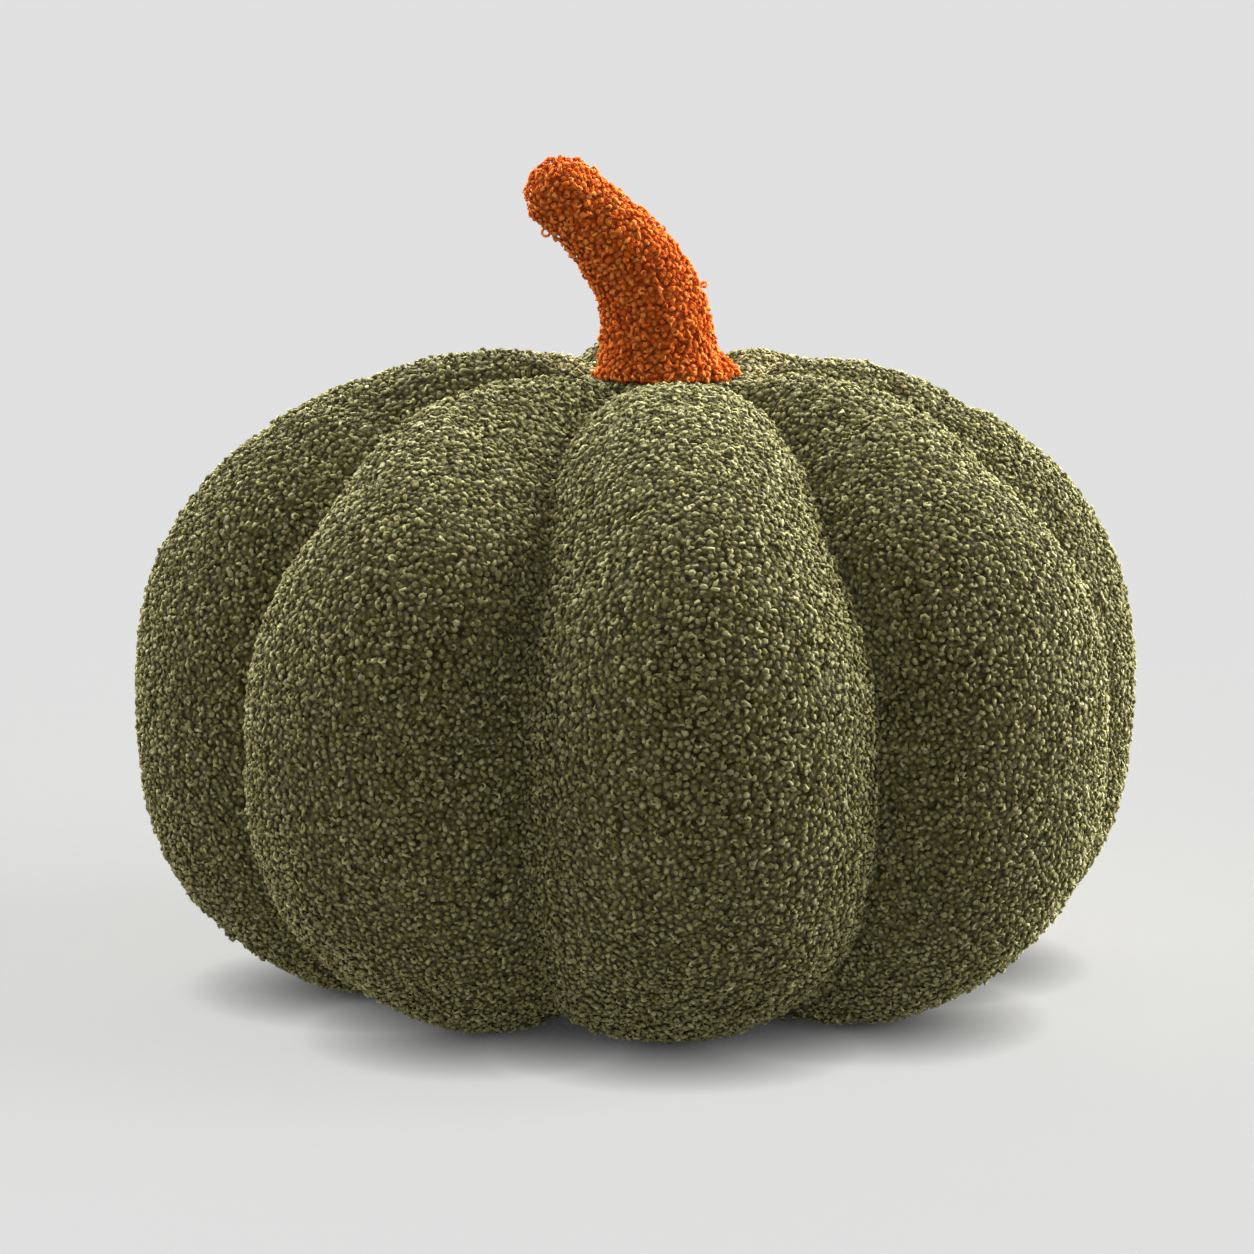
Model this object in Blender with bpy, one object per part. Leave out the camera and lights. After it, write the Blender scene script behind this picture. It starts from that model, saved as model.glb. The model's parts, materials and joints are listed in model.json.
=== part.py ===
"""A pumpkin cushion: gores of curly pile cloth sewn into one filled body, and a bent filled stem sewn on its crown.

Metres, +Z up, front towards -Y. The origin is on the floor, under the middle of the body.
The sizes reach to the tips of the pile.
"""

import math

import bmesh
import bpy
from mathutils import Vector

# Body: the lobes' crests follow one upright outline, and the seams between them lie on a smaller one. rise and drop
# run up and down from the widest height, and a higher roundness gives a squarer shoulder or cheek
WIDEST_HEIGHT = 0.121
CREST = {"radius": 0.2020, "rise": 0.134, "drop": 0.139, "shoulder_roundness": 2.38}
SEAM = {"radius": 0.1700, "rise": 0.1235, "drop": 0.122, "shoulder_roundness": 1.90, "cheek_roundness": 2.80}
CHEEK_ANGLE = math.radians(74)
LOBE_STEPS = 12
OUTLINE_STEPS = 38

# The lobes, in order round the body. seam: azimuth of the seam at the lobe's end, in degrees from the front
# towards +X. crown and foot: how far that seam swings, in degrees, as it nears the crown or the underside.
# reach and rise scale the crest's radius and height, and cheek is the crest's own roundness below
LOBES = [
    {"name": "front", "seam": 31.0, "crown": 12.0, "foot": -4.0, "reach": 1.000, "rise": 0.990, "cheek": 2.20},
    {"name": "front_right", "seam": 77.0, "crown": 8.0, "foot": 0.0, "reach": 0.993, "rise": 0.990, "cheek": 2.50},
    {"name": "right", "seam": 121.0, "crown": 2.0, "foot": 2.0, "reach": 0.994, "rise": 1.013, "cheek": 2.75},
    {"name": "back_right", "seam": 168.0, "crown": 0.0, "foot": 0.0, "reach": 0.995, "rise": 1.000, "cheek": 2.60},
    {"name": "back_left", "seam": 210.0, "crown": 0.0, "foot": -2.0, "reach": 1.000, "rise": 1.030, "cheek": 2.60},
    {"name": "left_back", "seam": 254.0, "crown": -7.0, "foot": 0.0, "reach": 0.995, "rise": 1.000, "cheek": 2.60},
    {"name": "left", "seam": 299.5, "crown": -16.0, "foot": 7.0, "reach": 1.001, "rise": 1.040, "cheek": 2.68},
    {"name": "front_left", "seam": 345.0, "crown": -17.0, "foot": -6.0, "reach": 0.995, "rise": 0.990, "cheek": 2.35},
]
SWING_START = 0.55
SWING_END = 1.45

# Crown: the crests dip towards the stem, whose round flat seat lies a little towards +X
CROWN_TURN = math.radians(77)
CROWN_SHIFT = 0.011
CROWN_SHIFT_FADE = 0.150
CROWN_DIP = 0.0055
CROWN_DIP_REACH = 0.090
SEAT_HEIGHT = 0.2445
SEAT_RADIUS = 0.0315
SEAT_STEPS = 4

# Underside: flat where it rests, and drawn up in the middle
UNDER_HEIGHT = 0.022
UNDER_RADIUS = 0.012
UNDER_BLEND = 0.080
FLOOR_ROUNDING = 0.006

# Stem: a row for each ring, from its foot up. x: the ring's centre, from the crown's middle; z: its height above
# the crown; tilt: how far the ring leans towards -X, in degrees; radius: the ring's own
STEM_GAP = 0.0003
STEM_SIDES = 22
STEM_RINGS = [
    {"x": -0.0020, "z": 0.0000, "tilt": 0, "radius": 0.0284},
    {"x": -0.0020, "z": 0.0025, "tilt": 0, "radius": 0.0285},
    {"x": -0.0035, "z": 0.0070, "tilt": 0, "radius": 0.0255},
    {"x": -0.0048, "z": 0.0125, "tilt": 5, "radius": 0.0238},
    {"x": -0.0073, "z": 0.0250, "tilt": 12, "radius": 0.0225},
    {"x": -0.0115, "z": 0.0365, "tilt": 24, "radius": 0.0210},
    {"x": -0.0178, "z": 0.0470, "tilt": 35, "radius": 0.0195},
    {"x": -0.0255, "z": 0.0562, "tilt": 43, "radius": 0.0180},
    {"x": -0.0335, "z": 0.0642, "tilt": 47, "radius": 0.0171},
    {"x": -0.0415, "z": 0.0712, "tilt": 49, "radius": 0.0168},
]
STEM_TIP_LENGTH = 0.0165
STEM_TIP_RINGS = 5

# Finishes
GREEN_PILE = (0.095, 0.088, 0.040)
ORANGE_PILE = (0.42, 0.095, 0.022)
PILE_ROUGHNESS = 0.95


def smooth_share(value, low, high):
    """0 at low, 1 at high, and a smooth rise between."""
    share = min(1.0, max(0.0, (value - low) / (high - low)))
    return share * share * (3 - 2 * share)


def outline(turn, line, reach=1.0, lift=1.0, cheek=None):
    """A point of an upright outline: turn runs from -pi/2 under the body to pi/2 on its crown."""
    roundness = line["shoulder_roundness"] if turn > 0 else cheek or line["cheek_roundness"]
    up = line["rise"] * lift if turn > 0 else -line["drop"]
    out = line["radius"] * reach * math.cos(turn) ** (2 / roundness)
    return out, WIDEST_HEIGHT + up * abs(math.sin(turn)) ** (2 / roundness)


def under_height(out, up):
    """Draws a height of the underside up towards the tuft in its middle."""
    return up + (UNDER_HEIGHT - up) * (1 - smooth_share(out, UNDER_RADIUS, UNDER_BLEND))


def on_floor(height):
    """Flattens what would lie below the floor, with a soft edge."""
    if height >= FLOOR_ROUNDING:
        return height
    if height <= -FLOOR_ROUNDING:
        return 0.0
    return (height + FLOOR_ROUNDING) ** 2 / (4 * FLOOR_ROUNDING)


def around(out, azimuth, up):
    """A point at this distance from the body's axis."""
    return Vector((out * math.sin(azimuth), -out * math.cos(azimuth), up))


def seam_azimuth(lobe, turn):
    """The azimuth of a lobe's own seam at one height."""
    swing = lobe["crown" if turn > 0 else "foot"] * smooth_share(abs(turn), SWING_START, SWING_END)
    return math.radians(lobe["seam"] + swing)


def lobe_point(lobe, before, turn, across):
    """A point of a lobe: across runs from -1 at the seam before it to 1 at its own seam."""
    left, right = seam_azimuth(before, turn), seam_azimuth(lobe, turn)
    if right < left:
        left -= 2 * math.pi
    seam_out, seam_up = outline(turn, SEAM)
    crest_out, crest_up = outline(turn, CREST, lobe["reach"], lobe["rise"], lobe["cheek"])
    if turn > 0:
        crest_up -= CROWN_DIP * (1 - smooth_share(crest_out, SEAT_RADIUS, CROWN_DIP_REACH))
    start, end = around(seam_out, left, seam_up), around(seam_out, right, seam_up)
    crest = around(crest_out, (left + right) / 2, crest_up)
    chord = (start + end) / 2
    sweep = across * CHEEK_ANGLE
    sideways = math.sin(sweep) / math.sin(CHEEK_ANGLE)
    swell = (math.cos(sweep) - math.cos(CHEEK_ANGLE)) / (1 - math.cos(CHEEK_ANGLE))
    point = chord + (end - start) / 2 * sideways + (crest - chord) * swell
    out = math.hypot(point.x, point.y)
    if turn > 0:
        point.x += CROWN_SHIFT * (1 - smooth_share(out, 0, CROWN_SHIFT_FADE))
    else:
        point.z = on_floor(under_height(out, point.z))
    return point


def seat_rings(last):
    """Carries the lobes' last ring in to the rim of the stem's seat."""
    centre = Vector((CROWN_SHIFT, 0, SEAT_HEIGHT))
    rings = []
    for step in range(1, SEAT_STEPS + 1):
        share = step / SEAT_STEPS
        ring = []
        for point in last:
            spoke = Vector((point.x, point.y, SEAT_HEIGHT)) - centre
            between = point.lerp(centre + spoke.normalized() * SEAT_RADIUS, share)
            between.z = point.z + (SEAT_HEIGHT - point.z) * smooth_share(share, 0, 1)
            ring.append(between)
        rings.append(ring)
    return rings


def body_rings():
    """The rings of the body from its underside to its crown, each running once round all the lobes."""
    rings = []
    for row in range(1, OUTLINE_STEPS + 1):
        turn = -math.pi / 2 + (math.pi / 2 + CROWN_TURN) * row / OUTLINE_STEPS
        ring = []
        for index, lobe in enumerate(LOBES):
            before = LOBES[index - 1]
            for step in range(LOBE_STEPS):
                ring.append(lobe_point(lobe, before, turn, 2 * step / LOBE_STEPS - 1))
        rings.append(ring)
    return rings + seat_rings(rings[-1])


def stem_ring(centre, tilt, radius):
    """A round of points that leans by tilt towards -X."""
    side, front = Vector((math.cos(tilt), 0, math.sin(tilt))), Vector((0, 1, 0))
    turns = [2 * math.pi * step / STEM_SIDES for step in range(STEM_SIDES)]
    return [centre + radius * (side * math.cos(turn) + front * math.sin(turn)) for turn in turns]


def stem_rings(foot):
    """The rings of the stem from its foot to its rounded tip."""
    rings = []
    for row in STEM_RINGS:
        centre = foot + Vector((row["x"], 0, row["z"]))
        rings.append(stem_ring(centre, math.radians(row["tilt"]), row["radius"]))
    tilt, radius = math.radians(STEM_RINGS[-1]["tilt"]), STEM_RINGS[-1]["radius"]
    along = Vector((-math.sin(tilt), 0, math.cos(tilt)))
    last = foot + Vector((STEM_RINGS[-1]["x"], 0, STEM_RINGS[-1]["z"]))
    for step in range(1, STEM_TIP_RINGS):
        turn = math.pi / 2 * step / STEM_TIP_RINGS
        centre = last + along * STEM_TIP_LENGTH * math.sin(turn)
        rings.append(stem_ring(centre, tilt, radius * math.cos(turn)))
    return rings, last + along * STEM_TIP_LENGTH


def closed_loft(name, rings, first_pole, last_pole, material):
    """A solid through the rings, closed by a fan of faces at each pole."""
    mesh = bmesh.new()
    loops = [[mesh.verts.new(point) for point in ring] for ring in rings]
    poles = [mesh.verts.new(first_pole), mesh.verts.new(last_pole)]
    count = len(loops[0])
    for index in range(count):
        after = (index + 1) % count
        mesh.faces.new((poles[0], loops[0][after], loops[0][index]))
        for low, high in zip(loops, loops[1:]):
            mesh.faces.new((low[index], low[after], high[after], high[index]))
        mesh.faces.new((poles[1], loops[-1][index], loops[-1][after]))
    bmesh.ops.recalc_face_normals(mesh, faces=mesh.faces)
    data = bpy.data.meshes.new(name)
    mesh.to_mesh(data)
    mesh.free()
    data.shade_smooth()
    data.materials.append(material)
    solid = bpy.data.objects.new(name, data)
    bpy.context.scene.collection.objects.link(solid)
    return solid


def pile_material(name, colour):
    """Matt pile cloth of one colour."""
    material = bpy.data.materials.new(name)
    material.use_nodes = True
    shader = material.node_tree.nodes["Principled BSDF"]
    shader.inputs["Base Color"].default_value = (*colour, 1)
    shader.inputs["Roughness"].default_value = PILE_ROUGHNESS
    shader.inputs["Metallic"].default_value = 0.0
    return material


def middle_of(rings, axis):
    """Half way between the lowest and highest value of one coordinate."""
    values = [point[axis] for ring in rings for point in ring]
    return (min(values) + max(values)) / 2


def build():
    for old in list(bpy.data.objects):
        bpy.data.objects.remove(old)
    rings = body_rings()
    offset = Vector((-middle_of(rings, 0), -middle_of(rings, 1), 0))
    rings = [[point + offset for point in ring] for ring in rings]
    crown = Vector((CROWN_SHIFT, 0, SEAT_HEIGHT)) + offset
    under = Vector((0, 0, UNDER_HEIGHT)) + offset
    closed_loft("pumpkin_body", rings, under, crown, pile_material("green_pile", GREEN_PILE))
    foot = crown + Vector((0, 0, STEM_GAP))
    stem, tip = stem_rings(foot)
    sole = foot + Vector((STEM_RINGS[0]["x"], 0, 0))
    closed_loft("stem", stem, sole, tip, pile_material("orange_pile", ORANGE_PILE))


build()
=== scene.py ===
import json
import math
import random

import bmesh
import bpy
import numpy as np
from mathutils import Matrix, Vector

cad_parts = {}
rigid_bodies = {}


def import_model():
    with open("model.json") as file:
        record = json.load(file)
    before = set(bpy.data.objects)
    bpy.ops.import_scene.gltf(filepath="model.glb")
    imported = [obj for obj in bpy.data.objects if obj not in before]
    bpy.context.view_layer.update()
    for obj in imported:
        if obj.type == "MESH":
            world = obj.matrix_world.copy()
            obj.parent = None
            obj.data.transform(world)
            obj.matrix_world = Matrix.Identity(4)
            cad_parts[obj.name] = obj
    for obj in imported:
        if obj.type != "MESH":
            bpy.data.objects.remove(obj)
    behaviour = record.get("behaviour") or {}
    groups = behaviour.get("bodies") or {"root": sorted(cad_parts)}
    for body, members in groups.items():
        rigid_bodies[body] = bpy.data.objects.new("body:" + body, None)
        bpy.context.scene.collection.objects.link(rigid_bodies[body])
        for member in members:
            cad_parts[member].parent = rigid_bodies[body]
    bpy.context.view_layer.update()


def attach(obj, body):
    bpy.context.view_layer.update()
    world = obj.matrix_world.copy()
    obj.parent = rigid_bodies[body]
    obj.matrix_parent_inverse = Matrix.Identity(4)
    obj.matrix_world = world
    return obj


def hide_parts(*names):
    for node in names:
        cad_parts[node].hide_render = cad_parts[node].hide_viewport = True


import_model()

scene = bpy.context.scene
mm = 0.001
print("the frame is in")


# small helpers

def smoothShare(value, low, high):
    share = min(max((value - low) / (high - low), 0.0), 1.0)
    return share * share * (3 - 2 * share)


def aroundAxis(out, bearing, up):
    return Vector((out * math.sin(bearing), -out * math.cos(bearing), up))


def linkObject(name, data):
    piece = bpy.data.objects.new(name, data)
    scene.collection.objects.link(piece)
    return piece


def addSocket(tree, name, kind, value=None, way="INPUT"):
    socket = tree.interface.new_socket(name, in_out=way, socket_type=kind)
    if value is not None:
        socket.default_value = value
    return socket


def newGeometryTree(name, sizes):
    # sizes: named float inputs with their first values
    tree = bpy.data.node_groups.new(name, "GeometryNodeTree")
    addSocket(tree, "Geometry", "NodeSocketGeometry")
    addSocket(tree, "Geometry", "NodeSocketGeometry", way="OUTPUT")
    for label, value in sizes.items():
        addSocket(tree, label, "NodeSocketInt" if isinstance(value, int) else "NodeSocketFloat", value)
    return tree


def setInputs(modifier, values):
    # a modifier's inputs are known by the sockets' identifiers
    names = {item.name: item.identifier for item in modifier.node_group.interface.items_tree
             if item.item_type == "SOCKET" and item.in_out == "INPUT"}
    for label, value in values.items():
        modifier[names[label]] = value


def settleModifiers(piece):
    # the evaluated mesh takes the place of the piece's own, and the modifiers go
    ready = bpy.context.evaluated_depsgraph_get()
    settled = bpy.data.meshes.new_from_object(piece.evaluated_get(ready))
    piece.modifiers.clear()
    name = piece.name
    if piece.type == "MESH":
        piece.data = settled
        return piece
    bpy.data.objects.remove(piece)
    return linkObject(name, settled)


def readAttribute(tree, label):
    node = tree.nodes.new("GeometryNodeInputNamedAttribute")
    node.data_type = "FLOAT"
    node.inputs["Name"].default_value = label
    return node.outputs["Attribute"]


def endTree(tree, geometry, finish):
    # made real, given its finish and sent out
    whole, paint = tree.nodes.new("GeometryNodeRealizeInstances"), tree.nodes.new("GeometryNodeSetMaterial")
    paint.inputs["Material"].default_value = finish
    tree.links.new(geometry, whole.inputs[0])
    tree.links.new(whole.outputs[0], paint.inputs["Geometry"])
    tree.links.new(paint.outputs[0], tree.nodes.new("NodeGroupOutput").inputs[0])


def mathNode(tree, operation, first, second=None, clamp=False):
    node = tree.nodes.new("ShaderNodeMath")
    node.operation = operation
    node.use_clamp = clamp
    for slot, value in enumerate((first, second)):
        if value is None:
            continue
        if isinstance(value, (int, float)):
            node.inputs[slot].default_value = value
        else:
            tree.links.new(value, node.inputs[slot])
    return node.outputs[0]


def facePatches(mesh, margin=0.14):
    # every triangle gets its own half of a small cell, so no two triangles overlap in the map
    count = len(mesh.polygons)
    cells = math.ceil(math.sqrt(count / 2))
    index = np.arange(count)
    cell = index // 2
    column, row, upper = cell % cells, cell // cells, index % 2
    lowHalf = np.array(((margin, margin), (1 - 2 * margin, margin), (margin, 1 - 2 * margin)))
    corners = np.where(upper[:, None, None] == 1, 1 - lowHalf, lowHalf)
    place = (corners + np.stack((column, row), axis=1)[:, None, :]) / cells
    layer = mesh.uv_layers.new(name="OFBake")
    layer.data.foreach_set("uv", place.reshape(-1).astype(np.float32))


# camera

shot = {"target": (-0.0053, 0.0, 0.143), "distance": 1.6, "elevation": 10.0, "lens": 115.0, "sensor": 36}

cameraData = bpy.data.cameras.new("camera")
cameraData.lens = shot["lens"]
cameraData.sensor_width = shot["sensor"]
camera = linkObject("camera", cameraData)
tip = math.radians(shot["elevation"])
away = Vector((0, -math.cos(tip), math.sin(tip)))
camera.location = Vector(shot["target"]) + away * shot["distance"]
camera.rotation_euler = (-away).to_track_quat("-Z", "Y").to_euler()
scene.camera = camera


# studio

studio = {
    "floorSize": 60.0, "floorCells": 6, "floorHeight": -0.0004, "floorSeen": 0.80, "floorBounce": 0.75,
    "bounceGlow": 0.27, "floorGlow": 0.60, "floorShade": 0.032, "floorShadeDepth": 0.8, "sky": 0.11, "skySeen": 0.750,
}
# bearing: 0 is the front and 90 the right; rise: above the horizon; the floor has a light of its own
lamps = (
    {"name": "keyLight", "bearing": 122, "rise": 18, "power": 16.6, "softness": 62, "lights": "cushion"},
    {"name": "rimLight", "bearing": 222, "rise": 34, "power": 6.5, "softness": 58, "lights": "cushion"},
    {"name": "backLight", "bearing": 188, "rise": 48, "power": 5.2, "softness": 60, "lights": "cushion"},
    {"name": "frontLight", "bearing": 357, "rise": 5, "power": 1.30, "softness": 45, "lights": "cushion"},
    {"name": "leftLight", "bearing": 285, "rise": 6, "power": 1.05, "softness": 45, "lights": "cushion"},
    {"name": "floorSideLight", "bearing": 84, "rise": 25, "power": 0.55, "softness": 50, "lights": "floor"},
)


def makeFloor():
    grid = bmesh.new()
    cells = studio["floorCells"]
    bmesh.ops.create_grid(grid, x_segments=cells, y_segments=cells, size=studio["floorSize"] / 2)
    data = bpy.data.meshes.new("studioFloor")
    grid.to_mesh(data)
    grid.free()
    for point in data.vertices:
        point.co.z = studio["floorHeight"]
    floor = linkObject("studioFloor", data)
    paper = bpy.data.materials.new("palePaper")
    paper.use_nodes = True
    nodes, links = paper.node_tree.nodes, paper.node_tree.links
    shader = nodes["Principled BSDF"]
    shader.inputs["Roughness"].default_value = 1.0
    shader.inputs["Specular IOR Level"].default_value = 0.0
    path = nodes.new("ShaderNodeLightPath")
    tone = nodes.new("ShaderNodeMix")
    tone.data_type = "RGBA"
    tone.inputs["A"].default_value = (*(studio["floorBounce"],) * 3, 1)
    links.new(path.outputs["Is Camera Ray"], tone.inputs["Factor"])
    # painted shade: ambient occlusion darkens the floor's colour and its glow beside the cushion, a contact shadow
    # painted where the cushion keeps the light of the room off the floor
    near = nodes.new("ShaderNodeAmbientOcclusion")
    near.inputs["Distance"].default_value = studio["floorShade"]
    openness = mathNode(paper.node_tree, "POWER", near.outputs["AO"], studio["floorShadeDepth"])
    seen = nodes.new("ShaderNodeVectorMath")
    seen.operation = "SCALE"
    seen.inputs[0].default_value = (studio["floorSeen"],) * 3
    links.new(openness, seen.inputs["Scale"])
    links.new(seen.outputs[0], tone.inputs["B"])
    links.new(tone.outputs["Result"], shader.inputs["Base Color"])
    links.new(openness, shader.inputs["Emission Color"])
    glow = nodes.new("ShaderNodeMix")
    glow.inputs["A"].default_value, glow.inputs["B"].default_value = studio["bounceGlow"], studio["floorGlow"]
    links.new(path.outputs["Is Camera Ray"], glow.inputs["Factor"])
    links.new(glow.outputs["Result"], shader.inputs["Emission Strength"])
    data.materials.append(paper)
    return floor


def makeLight(lamp, targets):
    sun = bpy.data.lights.new(lamp["name"], "SUN")
    sun.energy = lamp["power"]
    sun.angle = math.radians(lamp["softness"])
    light = linkObject(lamp["name"], sun)
    rise = math.radians(lamp["rise"])
    source = aroundAxis(math.cos(rise), math.radians(lamp["bearing"]), math.sin(rise))
    light.location = source
    light.rotation_euler = (-source).to_track_quat("-Z", "Y").to_euler()
    light.light_linking.receiver_collection = targets


def makeSky():
    world = bpy.data.worlds.new("studioSky")
    scene.world = world
    world.use_nodes = True
    nodes, links = world.node_tree.nodes, world.node_tree.links
    glow = nodes["Background"]
    glow.inputs["Color"].default_value = (1, 1, 1, 1)
    path = nodes.new("ShaderNodeLightPath")
    level = nodes.new("ShaderNodeMix")
    level.inputs["A"].default_value = studio["sky"]
    level.inputs["B"].default_value = studio["skySeen"]
    links.new(path.outputs["Is Camera Ray"], level.inputs["Factor"])
    links.new(level.outputs["Result"], glow.inputs["Strength"])


lit = {label: bpy.data.collections.new(label + "Lit") for label in ("cushion", "floor")}
lit["floor"].objects.link(makeFloor())
makeSky()
for lamp in lamps:
    makeLight(lamp, lit[lamp["lights"]])
scene.view_settings.view_transform = "Standard"
scene.view_settings.look = "None"
print("the studio is lit")


# finishes

fibreNoise = {"fineDetail": 3, "fineRoughness": 0.7, "broadDetail": 2, "fibreSize": 0.5 * mm, "fadeSize": 40 * mm}


def makeFibreGroup():
    # fine fibres of the yarn: a tone and a height that change over the surface
    group = bpy.data.node_groups.new("yarnFibre", "ShaderNodeTree")
    addSocket(group, "Vector", "NodeSocketVector")
    addSocket(group, "Fibre Size", "NodeSocketFloat", fibreNoise["fibreSize"])
    addSocket(group, "Fade Size", "NodeSocketFloat", fibreNoise["fadeSize"])
    addSocket(group, "Height", "NodeSocketFloat", way="OUTPUT")
    addSocket(group, "Fade", "NodeSocketFloat", way="OUTPUT")
    given, out = group.nodes.new("NodeGroupInput"), group.nodes.new("NodeGroupOutput")
    fine, broad = group.nodes.new("ShaderNodeTexNoise"), group.nodes.new("ShaderNodeTexNoise")
    fine.inputs["Detail"].default_value = fibreNoise["fineDetail"]
    fine.inputs["Roughness"].default_value = fibreNoise["fineRoughness"]
    broad.inputs["Detail"].default_value = fibreNoise["broadDetail"]
    for noise, size in ((fine, "Fibre Size"), (broad, "Fade Size")):
        group.links.new(given.outputs["Vector"], noise.inputs["Vector"])
        group.links.new(mathNode(group, "DIVIDE", 1.0, given.outputs[size]), noise.inputs["Scale"])
    group.links.new(fine.outputs["Fac"], out.inputs["Height"])
    group.links.new(broad.outputs["Fac"], out.inputs["Fade"])
    return group


fibreGroup = makeFibreGroup()

oliveYarn = {
    # root: painted shade, the dark of the curls' roots and of the cloth where the curls shade each other; dull and
    # bright: the yarn's own tones
    "root": (0.036, 0.029, 0.006), "dull": (0.262, 0.230, 0.066), "bright": (0.515, 0.492, 0.228),
    "roughness": 0.68, "specular": 0.06,
    "sheen": 0.15, "sheenRoughness": 0.40, "sheenTint": (0.95, 0.95, 0.74),
    "fibreSize": 0.70 * mm, "fibreDepth": 0.50 * mm, "fade": 0.25,
    "knobSize": 2.3 * mm, "knobDepth": 2.2 * mm, "rootShadeReach": 1.25, "groundToneOverShade": 0.60,
}
orangeYarn = {
    # root: painted shade at the curls' roots, as for the olive yarn
    "root": (0.300, 0.032, 0.002), "dull": (0.860, 0.142, 0.010), "bright": (1.000, 0.330, 0.062),
    "roughness": 0.65, "specular": 0.0,
    "sheen": 0.24, "sheenRoughness": 0.45, "sheenTint": (1.0, 0.55, 0.27),
    "fibreSize": 0.70 * mm, "fibreDepth": 0.50 * mm, "fade": 0.20,
    "knobSize": 2.3 * mm, "knobDepth": 2.2 * mm, "rootShadeReach": 1.0, "groundToneOverShade": 0.80,
}


def colourMix(tree, factor, first, second, blend="MIX"):
    node = tree.nodes.new("ShaderNodeMix")
    node.data_type = "RGBA"
    node.blend_type = blend
    for label, value in (("A", first), ("B", second)):
        if isinstance(value, tuple):
            node.inputs[label].default_value = (*value, 1)
        else:
            tree.links.new(value, node.inputs[label])
    if isinstance(factor, (int, float)):
        node.inputs["Factor"].default_value = factor
    else:
        tree.links.new(factor, node.inputs["Factor"])
    return node.outputs["Result"]


def yarnShader(name, yarn):
    # what the curls and the cloth under them share
    finish = bpy.data.materials.new(name)
    finish.use_nodes = True
    tree = finish.node_tree
    shader = tree.nodes["Principled BSDF"]
    shader.inputs["Roughness"].default_value = yarn["roughness"]
    shader.inputs["Specular IOR Level"].default_value = yarn["specular"]
    shader.inputs["Sheen Weight"].default_value = yarn["sheen"]
    shader.inputs["Sheen Roughness"].default_value = yarn["sheenRoughness"]
    shader.inputs["Sheen Tint"].default_value = (*yarn["sheenTint"], 1)
    place = tree.nodes.new("ShaderNodeTexCoord")
    fibre = tree.nodes.new("ShaderNodeGroup")
    fibre.node_tree = fibreGroup
    fibre.inputs["Fibre Size"].default_value = yarn["fibreSize"]
    tree.links.new(place.outputs["Object"], fibre.inputs["Vector"])
    return finish, shader, fibre, place.outputs["Object"]


def addBump(tree, shader, height, depth):
    bump = tree.nodes.new("ShaderNodeBump")
    bump.inputs["Distance"].default_value = depth
    bump.inputs["Strength"].default_value = 1.0
    tree.links.new(height, bump.inputs["Height"])
    tree.links.new(bump.outputs["Normal"], shader.inputs["Normal"])


def makeCurlFinish(name, yarn):
    # painted shade: dark at the roots, where the curls shade each other, lighter at the tips; and each curl a little
    # different in tone at random
    finish, shader, fibre, _ = yarnShader(name, yarn)
    tree = finish.node_tree
    shade, rise = tree.nodes.new("ShaderNodeAttribute"), tree.nodes.new("ShaderNodeAttribute")
    shade.attribute_name, rise.attribute_name = "shade", "rise"
    faded = mathNode(tree, "MULTIPLY_ADD", fibre.outputs["Fade"], yarn["fade"] * 2)
    tree.links.new(shade.outputs["Fac"], faded.node.inputs[2])
    level = mathNode(tree, "SUBTRACT", faded, yarn["fade"], clamp=True)
    tone = colourMix(tree, level, yarn["dull"], yarn["bright"])
    # painted shade: the root colour is mixed in by how low a point stands in the pile
    height = mathNode(tree, "POWER", rise.outputs["Fac"], yarn["rootShadeReach"], clamp=True)
    tree.links.new(colourMix(tree, height, yarn["root"], tone), shader.inputs["Base Color"])
    addBump(tree, shader, fibre.outputs["Height"], yarn["fibreDepth"])
    return finish


clothKnobs = {"fall": 1.6, "fibreShare": 0.35, "brightest": 0.6, "edge": 1.2}


def makeGroundFinish(name, yarn):
    # the cloth between the curls: small knobs of its own, as a bump, each a little different, with painted shade in
    # the pits between the knobs
    finish, shader, fibre, place = yarnShader(name, yarn)
    tree = finish.node_tree
    knobs = tree.nodes.new("ShaderNodeTexVoronoi")
    knobs.inputs["Scale"].default_value = 1 / yarn["knobSize"]
    tree.links.new(place, knobs.inputs["Vector"])
    far = mathNode(tree, "MULTIPLY", knobs.outputs["Distance"], knobs.outputs["Distance"])
    dome = mathNode(tree, "SUBTRACT", 1.0, mathNode(tree, "MULTIPLY", far, clothKnobs["fall"]), clamp=True)
    mixed = mathNode(tree, "MULTIPLY_ADD", fibre.outputs["Height"], clothKnobs["fibreShare"])
    tree.links.new(dome, mixed.node.inputs[2])
    pick = tree.nodes.new("ShaderNodeSeparateColor")
    tree.links.new(knobs.outputs["Color"], pick.inputs[0])
    level = mathNode(tree, "MULTIPLY", pick.outputs[0], clothKnobs["brightest"])
    tone = colourMix(tree, level, yarn["dull"], yarn["bright"])
    # painted shade: the pits between the knobs take the dark root colour, the knobs' tops the yarn's tone
    raised = mathNode(tree, "POWER", dome, clothKnobs["edge"], clamp=True)
    clearOfShade = mathNode(tree, "MULTIPLY", raised, yarn["groundToneOverShade"])
    tree.links.new(colourMix(tree, clearOfShade, yarn["root"], tone), shader.inputs["Base Color"])
    addBump(tree, shader, mixed, yarn["knobDepth"])
    return finish


# each finish holds the yarn's own colours and painted shade, at the curls' roots and in the pits between the cloth's
# knobs
finishes = {
    "oliveCurls": makeCurlFinish("oliveCurls", oliveYarn),
    "oliveGround": makeGroundFinish("oliveGround", oliveYarn),
    "orangeCurls": makeCurlFinish("orangeCurls", orangeYarn),
    "orangeGround": makeGroundFinish("orangeGround", orangeYarn),
}
print("the yarns are dyed")


# body cover: eight gores between drawn-in seams

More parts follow.
